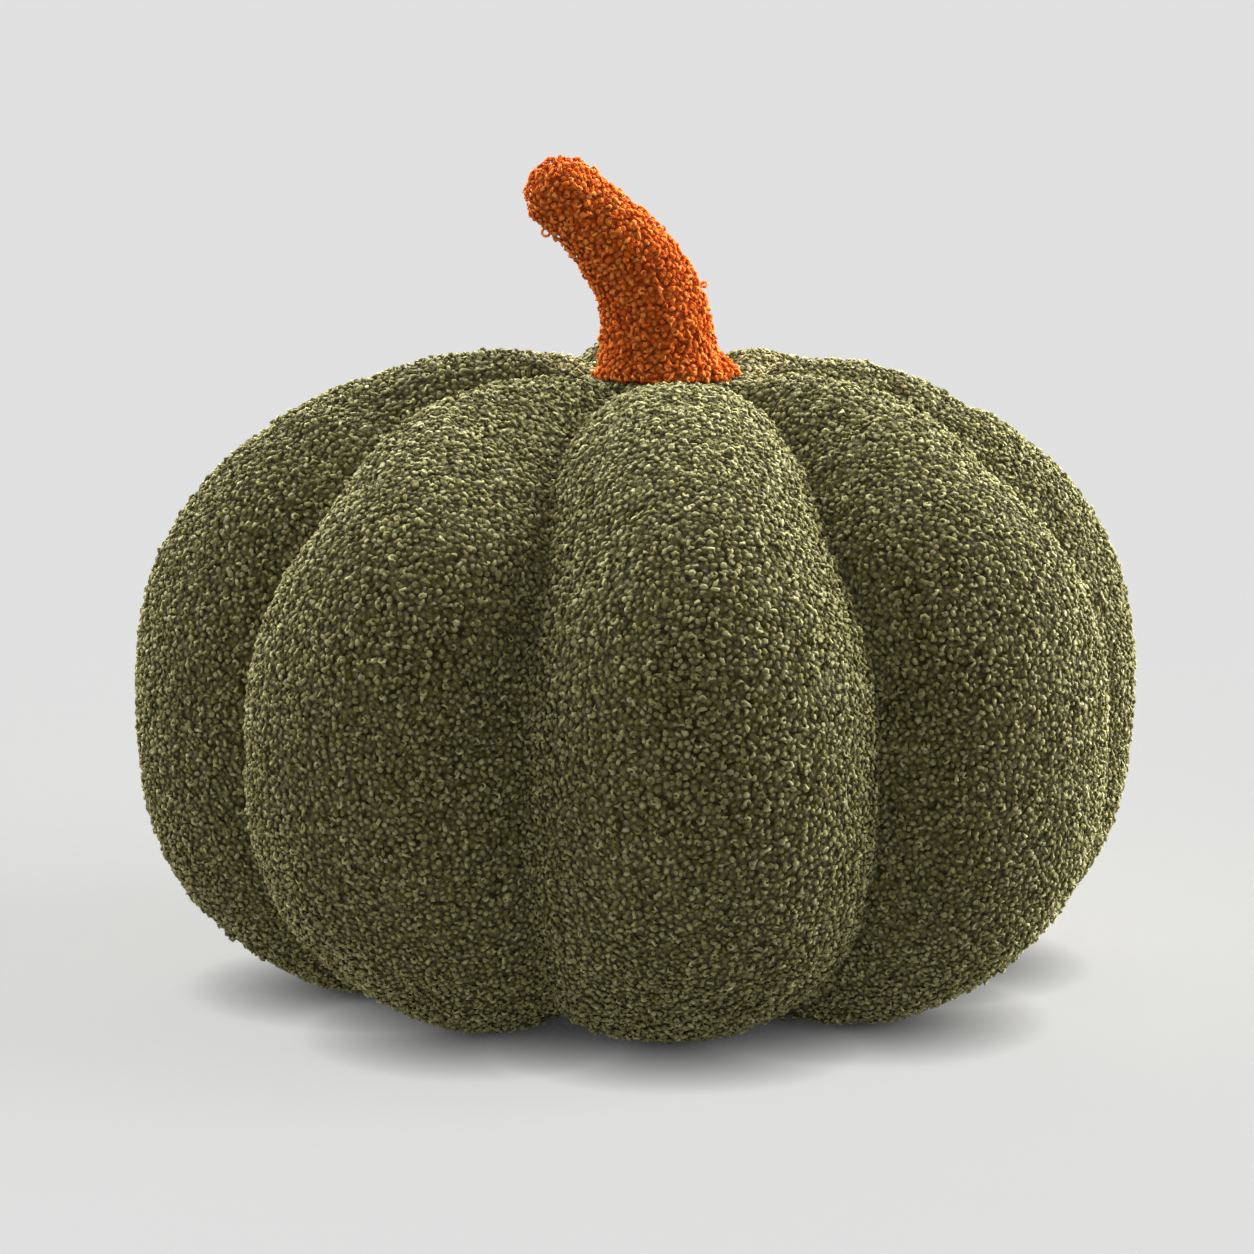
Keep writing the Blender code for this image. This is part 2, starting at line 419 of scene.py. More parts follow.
body = {
    "widest": 0.121, "cheekAngle": math.radians(74),
    "crest": {"radius": 0.2024, "rise": 0.1355, "drop": 0.139, "shoulder": 2.31, "cheek": 2.6},
    "seam": {"radius": 0.1700, "rise": 0.1235, "drop": 0.122, "shoulder": 1.90, "cheek": 2.80},
    "swing": (0.55, 1.45), "crownTurn": math.radians(77),
    "crownShift": 0.011, "crownShiftFade": 0.150, "crownDip": 0.0055, "crownDipReach": 0.090,
    "seatHeight": 0.2445, "seatRadius": 0.0315, "seatRings": 5,
    "underHeight": 0.022, "underRadius": 0.012, "underBlend": 0.080, "floorRounding": 0.006,
    "stepsAcross": 22, "stepsUp": 104, "underPile": 3.6 * mm,
    "heldRings": {"crown": (4, 16), "foot": (18, 40)}, "mapSides": 0.01, "mapEnds": 0.02,
}
# seam: its bearing from the front; crown, foot: how far it swings at the top and below, in degrees
gores = (
    {"name": "front", "seam": 31.0, "crown": 12.0, "foot": -4.0, "reach": 1.000, "rise": 0.990, "cheek": 2.20},
    {"name": "frontRight", "seam": 77.0, "crown": 8.0, "foot": 0.0, "reach": 0.993, "rise": 0.990, "cheek": 2.50},
    {"name": "right", "seam": 121.0, "crown": 2.0, "foot": 2.0, "reach": 0.990, "rise": 1.006, "cheek": 2.75},
    {"name": "backRight", "seam": 168.0, "crown": 0.0, "foot": 0.0, "reach": 0.995, "rise": 1.000, "cheek": 2.60},
    {"name": "backLeft", "seam": 210.0, "crown": 0.0, "foot": -2.0, "reach": 1.000, "rise": 1.030, "cheek": 2.60},
    {"name": "leftBack", "seam": 254.0, "crown": -7.0, "foot": 0.0, "reach": 0.995, "rise": 1.000, "cheek": 2.60},
    {"name": "left", "seam": 299.5, "crown": -16.0, "foot": 7.0, "reach": 1.001, "rise": 1.040, "cheek": 2.68},
    {"name": "frontLeft", "seam": 345.0, "crown": -17.0, "foot": -6.0, "reach": 0.995, "rise": 0.990, "cheek": 2.35},
)


def outlinePoint(turn, line, reach=1.0, lift=1.0, cheek=None):
    roundness = line["shoulder"] if turn > 0 else cheek or line["cheek"]
    up = line["rise"] * lift if turn > 0 else -line["drop"]
    out = line["radius"] * reach * math.cos(turn) ** (2 / roundness)
    return out, body["widest"] + up * abs(math.sin(turn)) ** (2 / roundness)


def seamBearing(gore, turn):
    swing = gore["crown" if turn > 0 else "foot"] * smoothShare(abs(turn), *body["swing"])
    return math.radians(gore["seam"] + swing)


def softFloor(height):
    rounding = body["floorRounding"]
    if height >= rounding:
        return height
    return 0.0 if height <= -rounding else (height + rounding) ** 2 / (4 * rounding)


def gorePoint(gore, before, turn, across):
    left, right = seamBearing(before, turn), seamBearing(gore, turn)
    if right < left:
        left -= 2 * math.pi
    seamOut, seamUp = outlinePoint(turn, body["seam"])
    crestOut, crestUp = outlinePoint(turn, body["crest"], gore["reach"], gore["rise"], gore["cheek"])
    if turn > 0:
        crestUp -= body["crownDip"] * (1 - smoothShare(crestOut, body["seatRadius"], body["crownDipReach"]))
    start, end = aroundAxis(seamOut, left, seamUp), aroundAxis(seamOut, right, seamUp)
    crest = aroundAxis(crestOut, (left + right) / 2, crestUp)
    chord, sweep = (start + end) / 2, across * body["cheekAngle"]
    flat = math.cos(body["cheekAngle"])
    swell = (math.cos(sweep) - flat) / (1 - flat)
    along = math.sin(sweep) / math.sin(body["cheekAngle"])
    point = chord + (end - start) / 2 * along + (crest - chord) * swell
    out = math.hypot(point.x, point.y)
    if turn > 0:
        point.x += body["crownShift"] * (1 - smoothShare(out, 0, body["crownShiftFade"]))
    else:
        lift = 1 - smoothShare(out, body["underRadius"], body["underBlend"])
        point.z = softFloor(point.z + (body["underHeight"] - point.z) * lift)
    return point


def bodyRings():
    rings = []
    for row in range(1, body["stepsUp"] + 1):
        turn = -math.pi / 2 + (math.pi / 2 + body["crownTurn"]) * row / body["stepsUp"]
        ring = []
        for spot, gore in enumerate(gores):
            for step in range(body["stepsAcross"]):
                ring.append(gorePoint(gore, gores[spot - 1], turn, 2 * step / body["stepsAcross"] - 1))
        rings.append(ring)
    centre = Vector((body["crownShift"], 0, body["seatHeight"]))
    last = rings[-1]
    for step in range(1, body["seatRings"] + 1):
        share = step / body["seatRings"]
        ring = []
        for point in last:
            spoke = Vector((point.x - centre.x, point.y, 0)).normalized()
            place = point.lerp(centre + spoke * body["seatRadius"], share)
            place.z = point.z + (centre.z - point.z) * smoothShare(share, 0, 1)
            ring.append(place)
        rings.append(ring)
    return rings


def seamDistances(rings):
    # how far each point is from its nearest seam, along its own ring
    across = body["stepsAcross"]
    away = []
    for ring in rings:
        for first in range(0, len(ring), across):
            run = [0.0]
            for step in range(across):
                gap = ring[(first + step + 1) % len(ring)] - ring[first + step]
                run.append(run[-1] + gap.length)
            away += [min(run[step], run[-1] - run[step]) for step in range(across)]
    return away


def makeBodyMesh():
    rings = bodyRings()
    middle = [sum(f([p[axis] for ring in rings for p in ring]) for f in (min, max)) / 2 for axis in (0, 1)]
    shift = Vector((-middle[0], -middle[1], 0))
    columns, rows = len(rings[0]), len(rings)
    under = Vector((0, 0, body["underHeight"])) + shift
    crown = Vector((body["crownShift"], 0, body["seatHeight"])) + shift
    points = [under] + [p + shift for ring in rings for p in ring] + [crown]
    side, end = body["mapSides"], body["mapEnds"]

    def at(row, column):
        return 1 + row * columns + column % columns

    def climb(row):
        return end + (1 - 2 * end) * (row + 1) / (rows + 1)

    faces, places, goreOf = [], [], []
    for column in range(columns):
        left, right = (side + (1 - 2 * side) * (column + step) / columns for step in (0, 1))
        between = (left + right) / 2
        faces.append((0, at(0, column + 1), at(0, column)))
        places.append(((between, side), (right, climb(0)), (left, climb(0))))
        for row in range(rows - 1):
            low, high = climb(row), climb(row + 1)
            faces.append((at(row, column), at(row, column + 1), at(row + 1, column + 1), at(row + 1, column)))
            places.append(((left, low), (right, low), (right, high), (left, high)))
        faces.append((at(rows - 1, column), at(rows - 1, column + 1), len(points) - 1))
        places.append(((left, climb(rows - 1)), (right, climb(rows - 1)), (between, 1 - side)))
        goreOf += [column // body["stepsAcross"]] * (rows + 1)
    data = bpy.data.meshes.new("pumpkinCover")
    data.from_pydata([tuple(p) for p in points], [], faces)
    layer = data.uv_layers.new(name="OFBake")
    layer.data.foreach_set("uv", np.array([c for face in places for c in face], np.float32).reshape(-1))
    data.attributes.new("gore", "INT", "FACE").data.foreach_set("value", goreOf)
    away = np.array([0, *seamDistances(rings), 0], np.float32)
    data.attributes.new("seamAway", "FLOAT", "POINT").data.foreach_set("value", away)
    # 0 on the seat and near the floor's middle, 1 where the cloth is free to swell
    loose = np.zeros(len(points), np.float32)
    for row in range(rows):
        fromTop = smoothShare(rows - 1 - row, *body["heldRings"]["crown"])
        fromUnder = smoothShare(row, *body["heldRings"]["foot"])
        loose[at(row, 0):at(row, 0) + columns] = fromTop * fromUnder
    data.attributes.new("loose", "FLOAT", "POINT").data.foreach_set("value", loose)
    return data, shift


def drawIn(mesh, depth):
    # moves every point inwards along its normal, which leaves room for the pile
    count = len(mesh.vertices)
    points, normals = np.zeros(count * 3), np.zeros(count * 3)
    mesh.vertices.foreach_get("co", points)
    mesh.vertex_normals.foreach_get("vector", normals)
    mesh.vertices.foreach_set("co", points - normals * depth)
    mesh.update()


bodyMesh, bodyShift = makeBodyMesh()
drawIn(bodyMesh, body["underPile"])
cover = linkObject("pumpkinCover", bodyMesh)
print("the body is cut:", len(bodyMesh.polygons), "faces")

stuffing = {
    "pressure": 4.0, "frames": 20, "cap": 1.2 * mm, "spare": 0.03, "tension": 12.0, "bending": 0.6, "quality": 6,
    "onSeam": 1e-5,
}


def stuffCover(piece):
    # the seams, the seat and the floor patches hold still, and the gores swell and pucker between them
    start = np.zeros(len(piece.data.vertices) * 3)
    piece.data.vertices.foreach_get("co", start)
    away = np.zeros(len(piece.data.vertices))
    loose = np.zeros(len(piece.data.vertices))
    piece.data.attributes["seamAway"].data.foreach_get("value", away)
    piece.data.attributes["loose"].data.foreach_get("value", loose)
    held = piece.vertex_groups.new(name="held")
    for spot in range(len(away)):
        grip = 1.0 if away[spot] < stuffing["onSeam"] else 1 - loose[spot]
        if grip > 0:
            held.add([spot], float(grip), "REPLACE")
    cloth = piece.modifiers.new("stuffing", "CLOTH")
    settings = cloth.settings
    settings.vertex_group_mass = "held"
    settings.use_pressure = True
    settings.uniform_pressure_force = stuffing["pressure"]
    settings.shrink_min = -stuffing["spare"]
    settings.tension_stiffness = settings.compression_stiffness = stuffing["tension"]
    settings.bending_stiffness = stuffing["bending"]
    settings.quality = stuffing["quality"]
    settings.effector_weights.gravity = 0
    cloth.collision_settings.use_collision = False
    cloth.point_cache.frame_start, cloth.point_cache.frame_end = 1, stuffing["frames"]
    for step in range(1, stuffing["frames"] + 1):
        scene.frame_set(step)
    ready = bpy.context.evaluated_depsgraph_get()
    settled = bpy.data.meshes.new_from_object(piece.evaluated_get(ready))
    final = np.zeros(len(start))
    settled.vertices.foreach_get("co", final)
    moved = (final - start).reshape(-1, 3)
    far = np.linalg.norm(moved, axis=1)
    print("the stuffing moved the cloth by", round(far.mean() / mm, 2), "mm, at most", round(far.max() / mm, 2))
    scale = np.minimum(1.0, stuffing["cap"] / np.maximum(far, 1e-9))
    piece.modifiers.clear()
    piece.data.vertices.foreach_set("co", (start.reshape(-1, 3) + moved * scale[:, None]).reshape(-1))
    piece.data.update()
    piece.vertex_groups.clear()
    bpy.data.meshes.remove(settled)
    scene.frame_set(1)


stuffCover(cover)

sewing = {
    "Channel Depth": 2.2 * mm, "Channel Width": 5.0 * mm, "Lump Height": 1.1 * mm, "Lump Size": 42 * mm, "Seed": 4,
}
lumpDetail = 1.5


def makeSewingTree():
    # draws the cloth in along the seams and leaves the stuffing a little uneven
    tree = newGeometryTree("sewnChannels", sewing)
    nodes, links = tree.nodes, tree.links
    given = nodes.new("NodeGroupInput")
    share = mathNode(tree, "DIVIDE", readAttribute(tree, "seamAway"), given.outputs["Channel Width"])
    near = mathNode(tree, "EXPONENT", mathNode(tree, "MULTIPLY", mathNode(tree, "MULTIPLY", share, share), -1.0))
    pull = mathNode(tree, "MULTIPLY", near, given.outputs["Channel Depth"])
    noise = nodes.new("ShaderNodeTexNoise")
    noise.noise_dimensions = "4D"
    noise.inputs["Detail"].default_value = lumpDetail
    place = nodes.new("GeometryNodeInputPosition")
    links.new(place.outputs[0], noise.inputs["Vector"])
    links.new(given.outputs["Seed"], noise.inputs["W"])
    links.new(mathNode(tree, "DIVIDE", 1.0, given.outputs["Lump Size"]), noise.inputs["Scale"])
    centred = mathNode(tree, "MULTIPLY", mathNode(tree, "SUBTRACT", noise.outputs["Fac"], 0.5), 2.0)
    lump = mathNode(tree, "MULTIPLY", centred, given.outputs["Lump Height"])
    swell = mathNode(tree, "MULTIPLY", mathNode(tree, "SUBTRACT", lump, pull), readAttribute(tree, "loose"))
    normal = nodes.new("GeometryNodeInputNormal")
    push = nodes.new("ShaderNodeVectorMath")
    push.operation = "SCALE"
    links.new(normal.outputs[0], push.inputs[0])
    links.new(swell, push.inputs["Scale"])
    move = nodes.new("GeometryNodeSetPosition")
    links.new(given.outputs["Geometry"], move.inputs["Geometry"])
    links.new(push.outputs[0], move.inputs["Offset"])
    endTree(tree, move.outputs[0], finishes["oliveGround"])
    return tree


sewn = cover.modifiers.new("sewing", "NODES")
sewn.node_group = makeSewingTree()
setInputs(sewn, sewing)
cover = settleModifiers(cover)
cover.data.shade_smooth()
print("the gores are sewn and stuffed")


# stem cover: a stuffed tube, bent to one side

stem = {
    "gap": 0.3 * mm, "lift": 0.6 * mm, "footShift": 3.4 * mm, "footHeight": 10 * mm, "sides": 40,
    "tipLength": 16.5 * mm, "tipRings": 9, "ringsBetween": 4, "underPile": 2.9 * mm, "slimmest": 0.6 * mm,
    "weld": 0.01 * mm,
    "path": (  # x and z from the crown's middle, and the radius
        (-0.0056, -0.0012, 0.0300), (-0.0056, 0.0020, 0.0282), (-0.0056, 0.0060, 0.0256), (-0.0058, 0.0110, 0.0240),
        (-0.0075, 0.0250, 0.0222), (-0.0120, 0.0363, 0.0205), (-0.0187, 0.0465, 0.0188), (-0.0268, 0.0553, 0.0174),
        (-0.0349, 0.0630, 0.0164), (-0.0428, 0.0698, 0.0160)),
}


def smoothPath(stops, between):
    # a smooth run through the stops, with some more in each gap
    stops = [np.array(stop) for stop in stops]
    ends = [2 * stops[0] - stops[1]] + stops + [2 * stops[-1] - stops[-2]]
    path = []
    for spot in range(1, len(ends) - 2):
        a, b, c, d = ends[spot - 1:spot + 3]
        for step in range(between):
            t = step / between
            path.append(0.5 * (2 * b + (c - a) * t + (2 * a - 5 * b + 4 * c - d) * t ** 2
                               + (3 * b - a - 3 * c + d) * t ** 3))
    return path + [stops[-1]]


def makeStemTree():
    # sweeps a ring along the stem's line, as wide as the line's own radius
    tree = newGeometryTree("stemTube", {"Sides": stem["sides"], "Pile Room": stem["underPile"]})
    nodes, links = tree.nodes, tree.links
    given, ring = nodes.new("NodeGroupInput"), nodes.new("GeometryNodeCurvePrimitiveCircle")
    ring.inputs["Radius"].default_value = 1.0
    links.new(given.outputs["Sides"], ring.inputs["Resolution"])
    width = nodes.new("GeometryNodeInputRadius")
    inner = mathNode(tree, "SUBTRACT", width.outputs[0], given.outputs["Pile Room"])
    sweep = nodes.new("GeometryNodeCurveToMesh")
    sweep.inputs["Fill Caps"].default_value = True
    links.new(given.outputs["Geometry"], sweep.inputs["Curve"])
    links.new(ring.outputs[0], sweep.inputs["Profile Curve"])
    links.new(mathNode(tree, "MAXIMUM", inner, stem["slimmest"]), sweep.inputs["Scale"])
    endTree(tree, sweep.outputs[0], finishes["orangeGround"])
    return tree


def makeStemCover():
    crown = Vector((body["crownShift"], 0, body["seatHeight"])) + bodyShift
    foot = crown + Vector((0, 0, stem["gap"] + stem["lift"]))
    path = smoothPath(stem["path"], stem["ringsBetween"])
    line = [(foot + Vector((x, 0, z)), radius) for x, z, radius in path]
    along = (line[-1][0] - line[-2][0]).normalized()
    end, width = line[-1]
    tipReach = stem["tipLength"] - stem["underPile"]
    for step in range(1, stem["tipRings"] + 1):
        turn = math.pi / 2 * step / stem["tipRings"]
        line.append((end + along * tipReach * math.sin(turn), width * math.cos(turn)))
    curve = bpy.data.curves.new("stemCover", "CURVE")
    curve.dimensions = "3D"
    spline = curve.splines.new("POLY")
    spline.points.add(len(line) - 1)
    for point, (place, radius) in zip(spline.points, line):
        point.co = (*place, 1)
        point.radius = radius
    piece = linkObject("stemCover", curve)
    sweep = piece.modifiers.new("stemTube", "NODES")
    sweep.node_group = makeStemTree()
    setInputs(sweep, {"Sides": stem["sides"], "Pile Room": stem["underPile"]})
    piece = settleModifiers(piece)
    mesh = bmesh.new()
    mesh.from_mesh(piece.data)
    bmesh.ops.remove_doubles(mesh, verts=mesh.verts, dist=stem["weld"])
    bmesh.ops.recalc_face_normals(mesh, faces=mesh.faces)
    # the foot spreads more to the right than to the left
    for point in mesh.verts:
        point.co.x += stem["footShift"] * (1 - smoothShare(point.co.z - foot.z, 0, stem["footHeight"]))
    mesh.to_mesh(piece.data)
    mesh.free()
    piece.data.shade_smooth()
    return piece


stemCover = makeStemCover()
print("the stem is rolled:", len(stemCover.data.polygons), "faces")


# curls

curls = {"yarn": 0.64 * mm, "yarnVaries": (0.92, 1.08), "pileHeight": 2.8 * mm, "seed": 7}
dice = random.Random(curls["seed"])


def tubeAlong(path, radii, sides):
    mesh = bmesh.new()
    rings, side = [], None
    for spot, place in enumerate(path):
        along = (path[min(spot + 1, len(path) - 1)] - path[max(spot - 1, 0)]).normalized()
        side = along.orthogonal().normalized() if side is None else (side - along * side.dot(along)).normalized()
        other = along.cross(side)
        ring = []
        for step in range(sides):
            turn = 2 * math.pi * step / sides
            ring.append(mesh.verts.new(place + radii[spot] * (side * math.cos(turn) + other * math.sin(turn))))
        rings.append(ring)
    for low, high in zip(rings, rings[1:]):
        for step in range(sides):
            mesh.faces.new((low[step], low[(step + 1) % sides], high[(step + 1) % sides], high[step]))
    mesh.faces.new(list(reversed(rings[0])))
    mesh.faces.new(rings[-1])
    return mesh


def yarnRadii(shares):
    # the yarn is a little different at each point of a curl
    return [curls["yarn"] * share * dice.uniform(*curls["yarnVaries"]) for share in shares]


def turnsOf(form):
    # the angles that a curl's yarn passes, one for each of its points
    start, sweep = form["arc"]
    last = len(form["thickness"]) - 1
    return [math.radians(start + sweep * step / last) for step in range(last + 1)]


# bead and dimpled: how high the edge and the middle stand, in shares of the radius
knobForm = {
    "radius": 1.20 * mm, "varies": (0.88, 1.1), "height": (0.75 * mm, 1.55 * mm), "stretch": (0.85, 1.35),
    "squeeze": 0.6, "corners": 6, "wander": 0.12, "rough": 0.2, "bead": (0.13, 0.80), "dimpled": (0.55, 0.15),
}


def makeKnob(kind="bead"):
    # the end of a curl, seen from above: a round bead, or a small ring with a dimple
    mesh = bmesh.new()
    size, lift = knobForm["radius"] * dice.uniform(*knobForm["varies"]), dice.uniform(*knobForm["height"])
    stretch, ring = dice.uniform(*knobForm["stretch"]), []
    edge, middle = knobForm[kind]
    corners, wander, rough = knobForm["corners"], knobForm["wander"], knobForm["rough"]
    for step in range(corners):
        turn = 2 * math.pi * (step + dice.uniform(-wander, wander)) / corners
        place = (size * stretch * math.cos(turn), size / stretch ** knobForm["squeeze"] * math.sin(turn))
        ring.append(mesh.verts.new((*place, lift + size * (edge + dice.uniform(-rough, rough)))))
    peak = (dice.uniform(-rough, rough) * size, dice.uniform(-rough, rough) * size, lift + size * middle)
    top = mesh.verts.new(peak)
    foot = mesh.verts.new((0, 0, lift - size))
    for step in range(corners):
        after = (step + 1) % corners
        mesh.faces.new((ring[step], ring[after], top))
        mesh.faces.new((ring[after], ring[step], foot))
    return mesh


def makeDimpledKnob():
    return makeKnob("dimpled")


beanForm = {
    "length": 3.2 * mm, "varies": (0.85, 1.15), "height": (1.3 * mm, 1.9 * mm), "bend": 0.6 * mm,
    "ends": -0.7 * mm, "back": 0.35 * mm, "thickness": (0.85, 1.35, 0.85), "sides": 3,
}


def makeBean():
    # the top of a curl, seen from its side: short and bent
    reach, lift = beanForm["length"] * dice.uniform(*beanForm["varies"]) / 2, dice.uniform(*beanForm["height"])
    bend = dice.uniform(-beanForm["bend"], beanForm["bend"])
    low, high = lift + beanForm["ends"], lift + beanForm["back"]
    path = [Vector((-reach, 0, low)), Vector((0, bend, high)), Vector((reach, 0, low))]
    return tubeAlong(path, yarnRadii(beanForm["thickness"]), beanForm["sides"])


archForm = {
    "span": 1.15 * mm, "varies": (0.85, 1.2), "lean": 0.5, "leanShare": 0.6, "height": 1.30 * mm, "tall": 1.1,
    "twist": 0.3 * mm, "arc": (-35, 250), "thickness": (0.8, 1.05, 1.05, 0.8), "sides": 3,
}


def makeArch():
    # a loop that rises from the cloth and goes back into it
    span, path = archForm["span"] * dice.uniform(*archForm["varies"]), []
    lean = dice.uniform(-archForm["lean"], archForm["lean"]) * archForm["leanShare"]
    middle = (len(archForm["thickness"]) - 1) / 2
    for step, turn in enumerate(turnsOf(archForm)):
        up = archForm["height"] + span * math.sin(turn) * archForm["tall"]
        path.append(Vector((span * math.cos(turn), lean * up + archForm["twist"] * (step - middle), up)))
    return tubeAlong(path, yarnRadii(archForm["thickness"]), archForm["sides"])


ringForm = {
    "radius": 1.05 * mm, "varies": (0.85, 1.15), "lean": (15, 60), "height": 1.85 * mm, "endDrop": 0.7 * mm,
    "arc": (-120, 310), "thickness": (0.75, *(0.95,) * 5), "sides": 3,
}


def makeRing():
    # a curl seen from its side: an open ring with a dark middle
    size, path = ringForm["radius"] * dice.uniform(*ringForm["varies"]), []
    lean = math.radians(dice.uniform(*ringForm["lean"]))
    for turn in turnsOf(ringForm):
        across = size * math.sin(turn)
        up = ringForm["height"] + across * math.sin(lean)
        path.append(Vector((size * math.cos(turn), across * math.cos(lean), up)))
    path[0].z -= ringForm["endDrop"]
    return tubeAlong(path, yarnRadii(ringForm["thickness"]), ringForm["sides"])


strayForm = {
    "radius": 1.5 * mm, "varies": (0.8, 1.2), "back": 0.35, "wave": 0.25, "height": 1.6 * mm, "rise": 0.45,
    "arc": (-70, 265), "thickness": (*(0.85,) * 7, 0.595), "sides": 4,
}


def makeStray():
    # a loose loop that stands off the cloth
    size, path = strayForm["radius"] * dice.uniform(*strayForm["varies"]), []
    side = dice.choice((-1, 1))
    for turn in turnsOf(strayForm):
        up = strayForm["height"] + size * (math.sin(turn) + strayForm["rise"])
        out = side * size * (math.cos(turn) - strayForm["back"])
        path.append(Vector((out, strayForm["wave"] * size * math.sin(2 * turn), up)))
    return tubeAlong(path, [curls["yarn"] * share for share in strayForm["thickness"]], strayForm["sides"])


def makeCurlSet(name, makers):
    collection = bpy.data.collections.new(name)
    for maker, copies in makers:
        for _ in range(copies):
            mesh = maker()
            bmesh.ops.triangulate(mesh, faces=mesh.faces)
            bmesh.ops.recalc_face_normals(mesh, faces=mesh.faces)
            data = bpy.data.meshes.new(f"{name}{len(collection.objects):02d}")
            mesh.to_mesh(data)
            mesh.free()
            data.shade_smooth()
            # rise: how high a point stands in the pile, which sets the painted shade at the curls' roots
            rise = [min(max(point.co.z / curls["pileHeight"], 0.0), 1.0) for point in data.vertices]
            data.attributes.new("rise", "FLOAT", "POINT").data.foreach_set("value", rise)
            collection.objects.link(bpy.data.objects.new(data.name, data))
    faces = [len(piece.data.polygons) for piece in collection.objects]
    print("curls for", name, ":", len(faces), "shapes with", round(sum(faces) / len(faces), 1), "triangles each")
    return collection


closeCurls = makeCurlSet("closeCurls", ((makeKnob, 16), (makeDimpledKnob, 5), (makeBean, 5)))
looseCurls = makeCurlSet("looseCurls", ((makeRing, 7), (makeArch, 4)))
stemCurls = makeCurlSet("stemCurls", ((makeRing, 6), (makeArch, 5), (makeStray, 1)))


# pile: the curls set all over the cloth by Geometry Nodes

pile = {
    "Close Spacing": 2.20 * mm, "Close Density": 3600000.0, "Loose Spacing": 6.2 * mm, "Loose Density": 300000.0,
    "Smallest": 0.82, "Largest": 1.15, "Lean": 0.38, "Floor": 0.1 * mm, "Seed": 3,
}
stemPile = dict(pile, **{"Loose Spacing": 4.8 * mm, "Smallest": 0.85, "Largest": 1.20, "Seed": 41})
# what keeps the random choices of a layer apart, and those of the layers and the gores
seedFor = {"shape": 11, "spin": 12, "size": 13, "tone": 14, "nextLayer": 20, "nextGore": 100}


def randomValue(tree, kind, seed):
    node = tree.nodes.new("FunctionNodeRandomValue")
    node.data_type = kind
    node.inputs["Seed"].default_value = seed
    return node


def addCurlLayer(tree, given, shapes, label, offset):
    nodes, links = tree.nodes, tree.links
    scatter = nodes.new("GeometryNodeDistributePointsOnFaces")
    scatter.distribute_method = "POISSON"
    links.new(given.outputs["Geometry"], scatter.inputs["Mesh"])
    links.new(given.outputs[f"{label} Spacing"], scatter.inputs["Distance Min"])
    links.new(given.outputs[f"{label} Density"], scatter.inputs["Density Max"])
    links.new(mathNode(tree, "ADD", given.outputs["Seed"], offset), scatter.inputs["Seed"])
    links.new(readAttribute(tree, "thick"), scatter.inputs["Density Factor"])
    stock = nodes.new("GeometryNodeCollectionInfo")
    stock.inputs["Collection"].default_value = shapes
    stock.inputs["Separate Children"].default_value = True
    stock.inputs["Reset Children"].default_value = True
    # a random value's sockets: 0 and 1 are the limits of a vector, 2 and 3 of a number, 4 and 5 of a whole number
    choice = randomValue(tree, "INT", offset + seedFor["shape"])
    choice.inputs[4].default_value, choice.inputs[5].default_value = 0, len(shapes.objects) - 1
    spin = randomValue(tree, "FLOAT_VECTOR", offset + seedFor["spin"])
    for slot, sign, turn in ((0, -1.0, 0.0), (1, 1.0, 2 * math.pi)):
        limits = nodes.new("ShaderNodeCombineXYZ")
        lean = mathNode(tree, "MULTIPLY", given.outputs["Lean"], sign)
        links.new(lean, limits.inputs["X"])
        links.new(lean, limits.inputs["Y"])
        limits.inputs["Z"].default_value = turn
        links.new(limits.outputs[0], spin.inputs[slot])
    turned, facing = nodes.new("FunctionNodeEulerToRotation"), nodes.new("FunctionNodeRotateRotation")
    facing.rotation_space = "LOCAL"
    links.new(spin.outputs[0], turned.inputs[0])
    links.new(scatter.outputs["Rotation"], facing.inputs["Rotation"])
    links.new(turned.outputs[0], facing.inputs["Rotate By"])
    size = randomValue(tree, "FLOAT", offset + seedFor["size"])
    links.new(given.outputs["Smallest"], size.inputs[2])
    links.new(given.outputs["Largest"], size.inputs[3])
    place = nodes.new("GeometryNodeInstanceOnPoints")
    place.inputs["Pick Instance"].default_value = True
    links.new(scatter.outputs["Points"], place.inputs["Points"])
    links.new(stock.outputs[0], place.inputs["Instance"])
    links.new(choice.outputs[2], place.inputs["Instance Index"])
    links.new(facing.outputs[0], place.inputs["Rotation"])
    links.new(size.outputs[1], place.inputs["Scale"])
    tone = randomValue(tree, "FLOAT", offset + seedFor["tone"])
    mark = nodes.new("GeometryNodeStoreNamedAttribute")
    mark.data_type, mark.domain = "FLOAT", "INSTANCE"
    mark.inputs["Name"].default_value = "shade"
    links.new(place.outputs[0], mark.inputs["Geometry"])
    links.new(tone.outputs[1], mark.inputs["Value"])
    return mark.outputs[0]


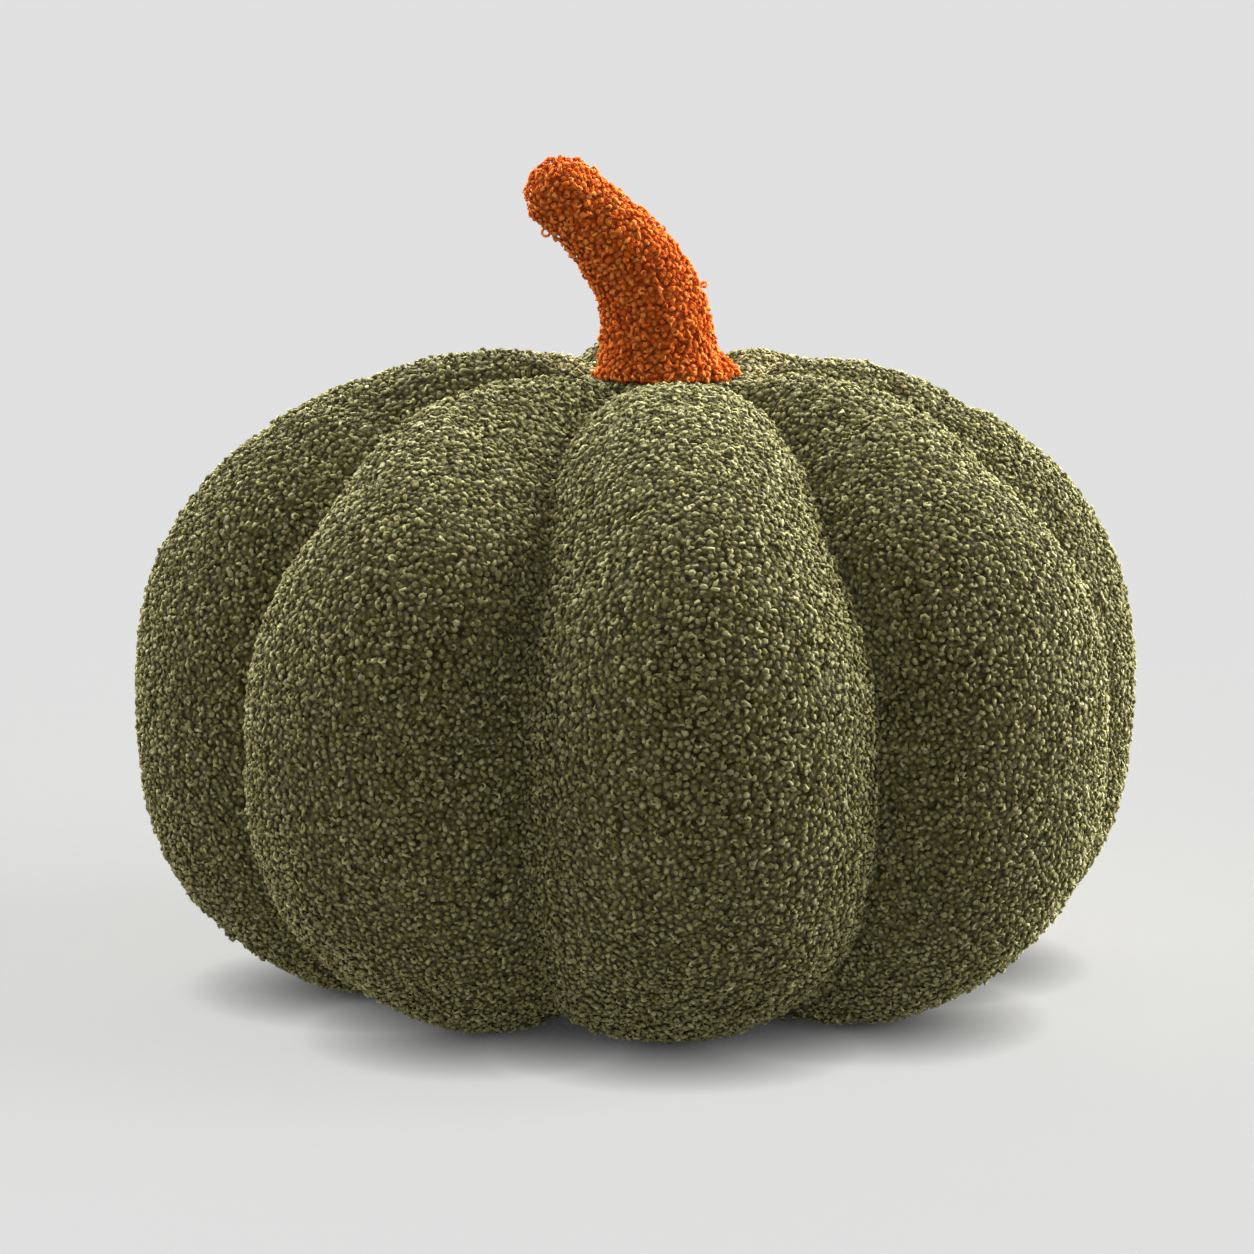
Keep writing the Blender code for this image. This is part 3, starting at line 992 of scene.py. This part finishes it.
def makePileTree(name, sizes, layers, finish):
    tree = newGeometryTree(name, sizes)
    nodes, links = tree.nodes, tree.links
    given, out = nodes.new("NodeGroupInput"), nodes.new("NodeGroupOutput")
    join, whole = nodes.new("GeometryNodeJoinGeometry"), nodes.new("GeometryNodeRealizeInstances")
    for spot, (label, shapes) in enumerate(layers):
        layer = addCurlLayer(tree, given, shapes, label, seedFor["nextLayer"] * spot)
        links.new(layer, join.inputs[0])
    links.new(join.outputs[0], whole.inputs[0])
    # nothing reaches below the floor: the curls there are pressed flat
    where, parts = nodes.new("GeometryNodeInputPosition"), nodes.new("ShaderNodeSeparateXYZ")
    pressed, move = nodes.new("ShaderNodeCombineXYZ"), nodes.new("GeometryNodeSetPosition")
    links.new(where.outputs[0], parts.inputs[0])
    links.new(parts.outputs["X"], pressed.inputs["X"])
    links.new(parts.outputs["Y"], pressed.inputs["Y"])
    links.new(mathNode(tree, "MAXIMUM", parts.outputs["Z"], given.outputs["Floor"]), pressed.inputs["Z"])
    links.new(whole.outputs[0], move.inputs["Geometry"])
    links.new(pressed.outputs[0], move.inputs["Position"])
    paint = nodes.new("GeometryNodeSetMaterial")
    paint.inputs["Material"].default_value = finish
    links.new(move.outputs[0], paint.inputs["Geometry"])
    links.new(paint.outputs[0], out.inputs[0])
    return tree


def groundFor(source, name, thickness, spot=None):
    # what one pile piece stands on, the whole cloth or one gore, with how thick the pile is at each point
    mesh = bmesh.new()
    mesh.from_mesh(source.data)
    gore = mesh.faces.layers.int.get("gore")
    if spot is not None:
        bmesh.ops.delete(mesh, geom=[face for face in mesh.faces if face[gore] != spot], context="FACES")
    data = bpy.data.meshes.new(name)
    mesh.to_mesh(data)
    mesh.free()
    values = [thickness(point.co) for point in data.vertices]
    data.attributes.new("thick", "FLOAT", "POINT").data.foreach_set("value", values)
    data.shade_smooth()
    return linkObject(name, data)


def growPile(ground, tree, sizes):
    grow = ground.modifiers.new("pile", "NODES")
    grow.node_group = tree
    setInputs(grow, sizes)
    piece = settleModifiers(ground)
    facePatches(piece.data)
    return piece


crownMiddle = Vector((body["crownShift"], 0, body["seatHeight"])) + bodyShift


# thin where it can't be seen: on the flat underside, inside the stem's foot and below it
thinPile = {
    "underShare": 0.15, "underHeight": 0.035, "underEdge": (0.100, 0.116),
    "topHeight": 0.2, "stemEdge": (0.0225, 0.0255), "stemFoot": 1 * mm,
}


def bodyThickness(place):
    outside, foot = 1.0, 1.0
    if place.z < thinPile["underHeight"]:
        outside = smoothShare(math.hypot(place.x, place.y), *thinPile["underEdge"])
    if place.z > thinPile["topHeight"]:
        foot = smoothShare(math.hypot(place.x - crownMiddle.x, place.y), *thinPile["stemEdge"])
    return (thinPile["underShare"] + (1 - thinPile["underShare"]) * outside) * foot


def stemThickness(place):
    return smoothShare(place.z, crownMiddle.z - thinPile["stemFoot"], crownMiddle.z)


pileTree = makePileTree("curlPile", pile, (("Close", closeCurls), ("Loose", looseCurls)), finishes["oliveCurls"])
stemTree = makePileTree("stemPile", stemPile, (("Close", closeCurls), ("Loose", stemCurls)), finishes["orangeCurls"])

pilePieces = []
for spot, gore in enumerate(gores):
    ground = groundFor(cover, "pile" + gore["name"][0].upper() + gore["name"][1:], bodyThickness, spot)
    piece = growPile(ground, pileTree, dict(pile, Seed=pile["Seed"] + seedFor["nextGore"] * spot))
    pilePieces.append(piece)
    print(piece.name, len(piece.data.polygons), "triangles")
stemPiece = growPile(groundFor(stemCover, "pileStem", stemThickness), stemTree, stemPile)
print(stemPiece.name, len(stemPiece.data.polygons), "triangles")


# what rides where

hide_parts("pumpkin_body")
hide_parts("stem")
for piece in [cover, *pilePieces]:
    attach(piece, "root")
for piece in (stemCover, stemPiece):
    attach(piece, "root")
for piece in [cover, stemCover, stemPiece, *pilePieces]:
    lit["cushion"].objects.link(piece)
print("all", sum(len(p.data.polygons) for p in [cover, stemCover, stemPiece, *pilePieces]), "faces")
